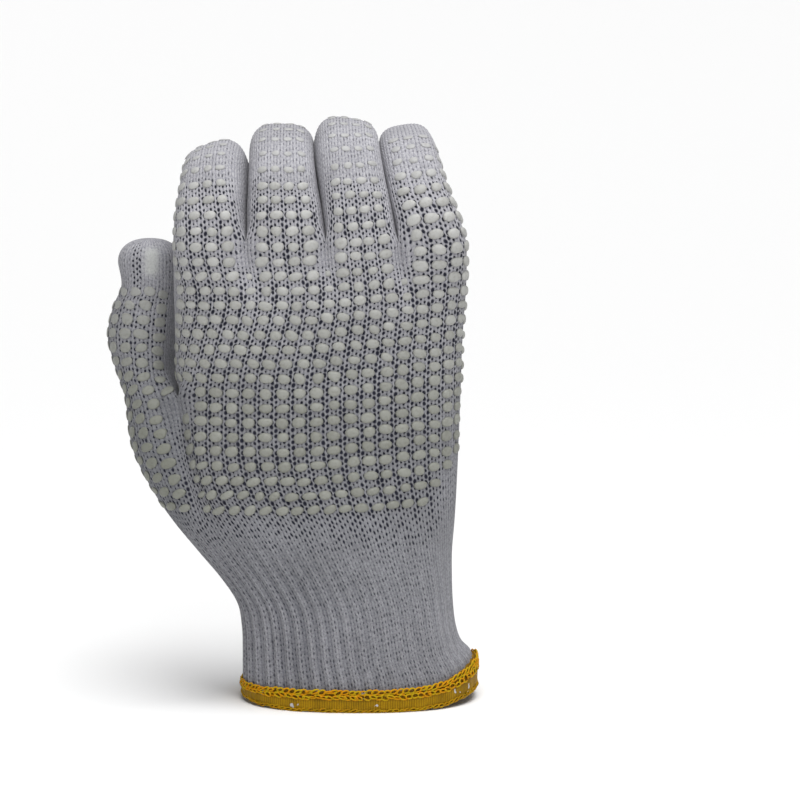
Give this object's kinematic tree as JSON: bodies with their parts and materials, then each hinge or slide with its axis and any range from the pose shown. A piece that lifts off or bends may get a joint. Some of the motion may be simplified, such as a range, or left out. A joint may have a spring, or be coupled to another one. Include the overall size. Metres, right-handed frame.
{
  "type": "dotted knit glove",
  "caption": "Knitted work glove for a right hand, shown in its worn shape with bent fingers, raised grip dots on one side, a ribbed cuff and a yellow overlocked hem.",
  "frame": {"origin": "centre of the open mouth of the cuff, at the height of the hem's lowest edge", "axes": "+Z from the mouth to the fingers, -Y out of the dotted side, which covers the back of the hand here, -X towards the thumb, +Y the way the fingers bend"},
  "size_m": [0.1273, 0.082, 0.1982],
  "materials": {
    "knit": "off-white cotton and polyester yarn, plain knit, matt, with small open holes between the wales",
    "grip_dots": "moulded grip dots of soft off-white plastic, slightly glossy",
    "hem_thread": "mustard yellow overlock thread, close loops with a soft sheen"
  },
  "bodies": {
    "root": {"lower_hand": "knit", "upper_hand": "knit", "thumb": "knit", "index_finger": "knit", "middle_finger": "knit", "ring_finger": "knit", "little_finger": "knit", "cuff": "knit", "overlock_hem": "hem_thread"}
  },
  "joints": []
}
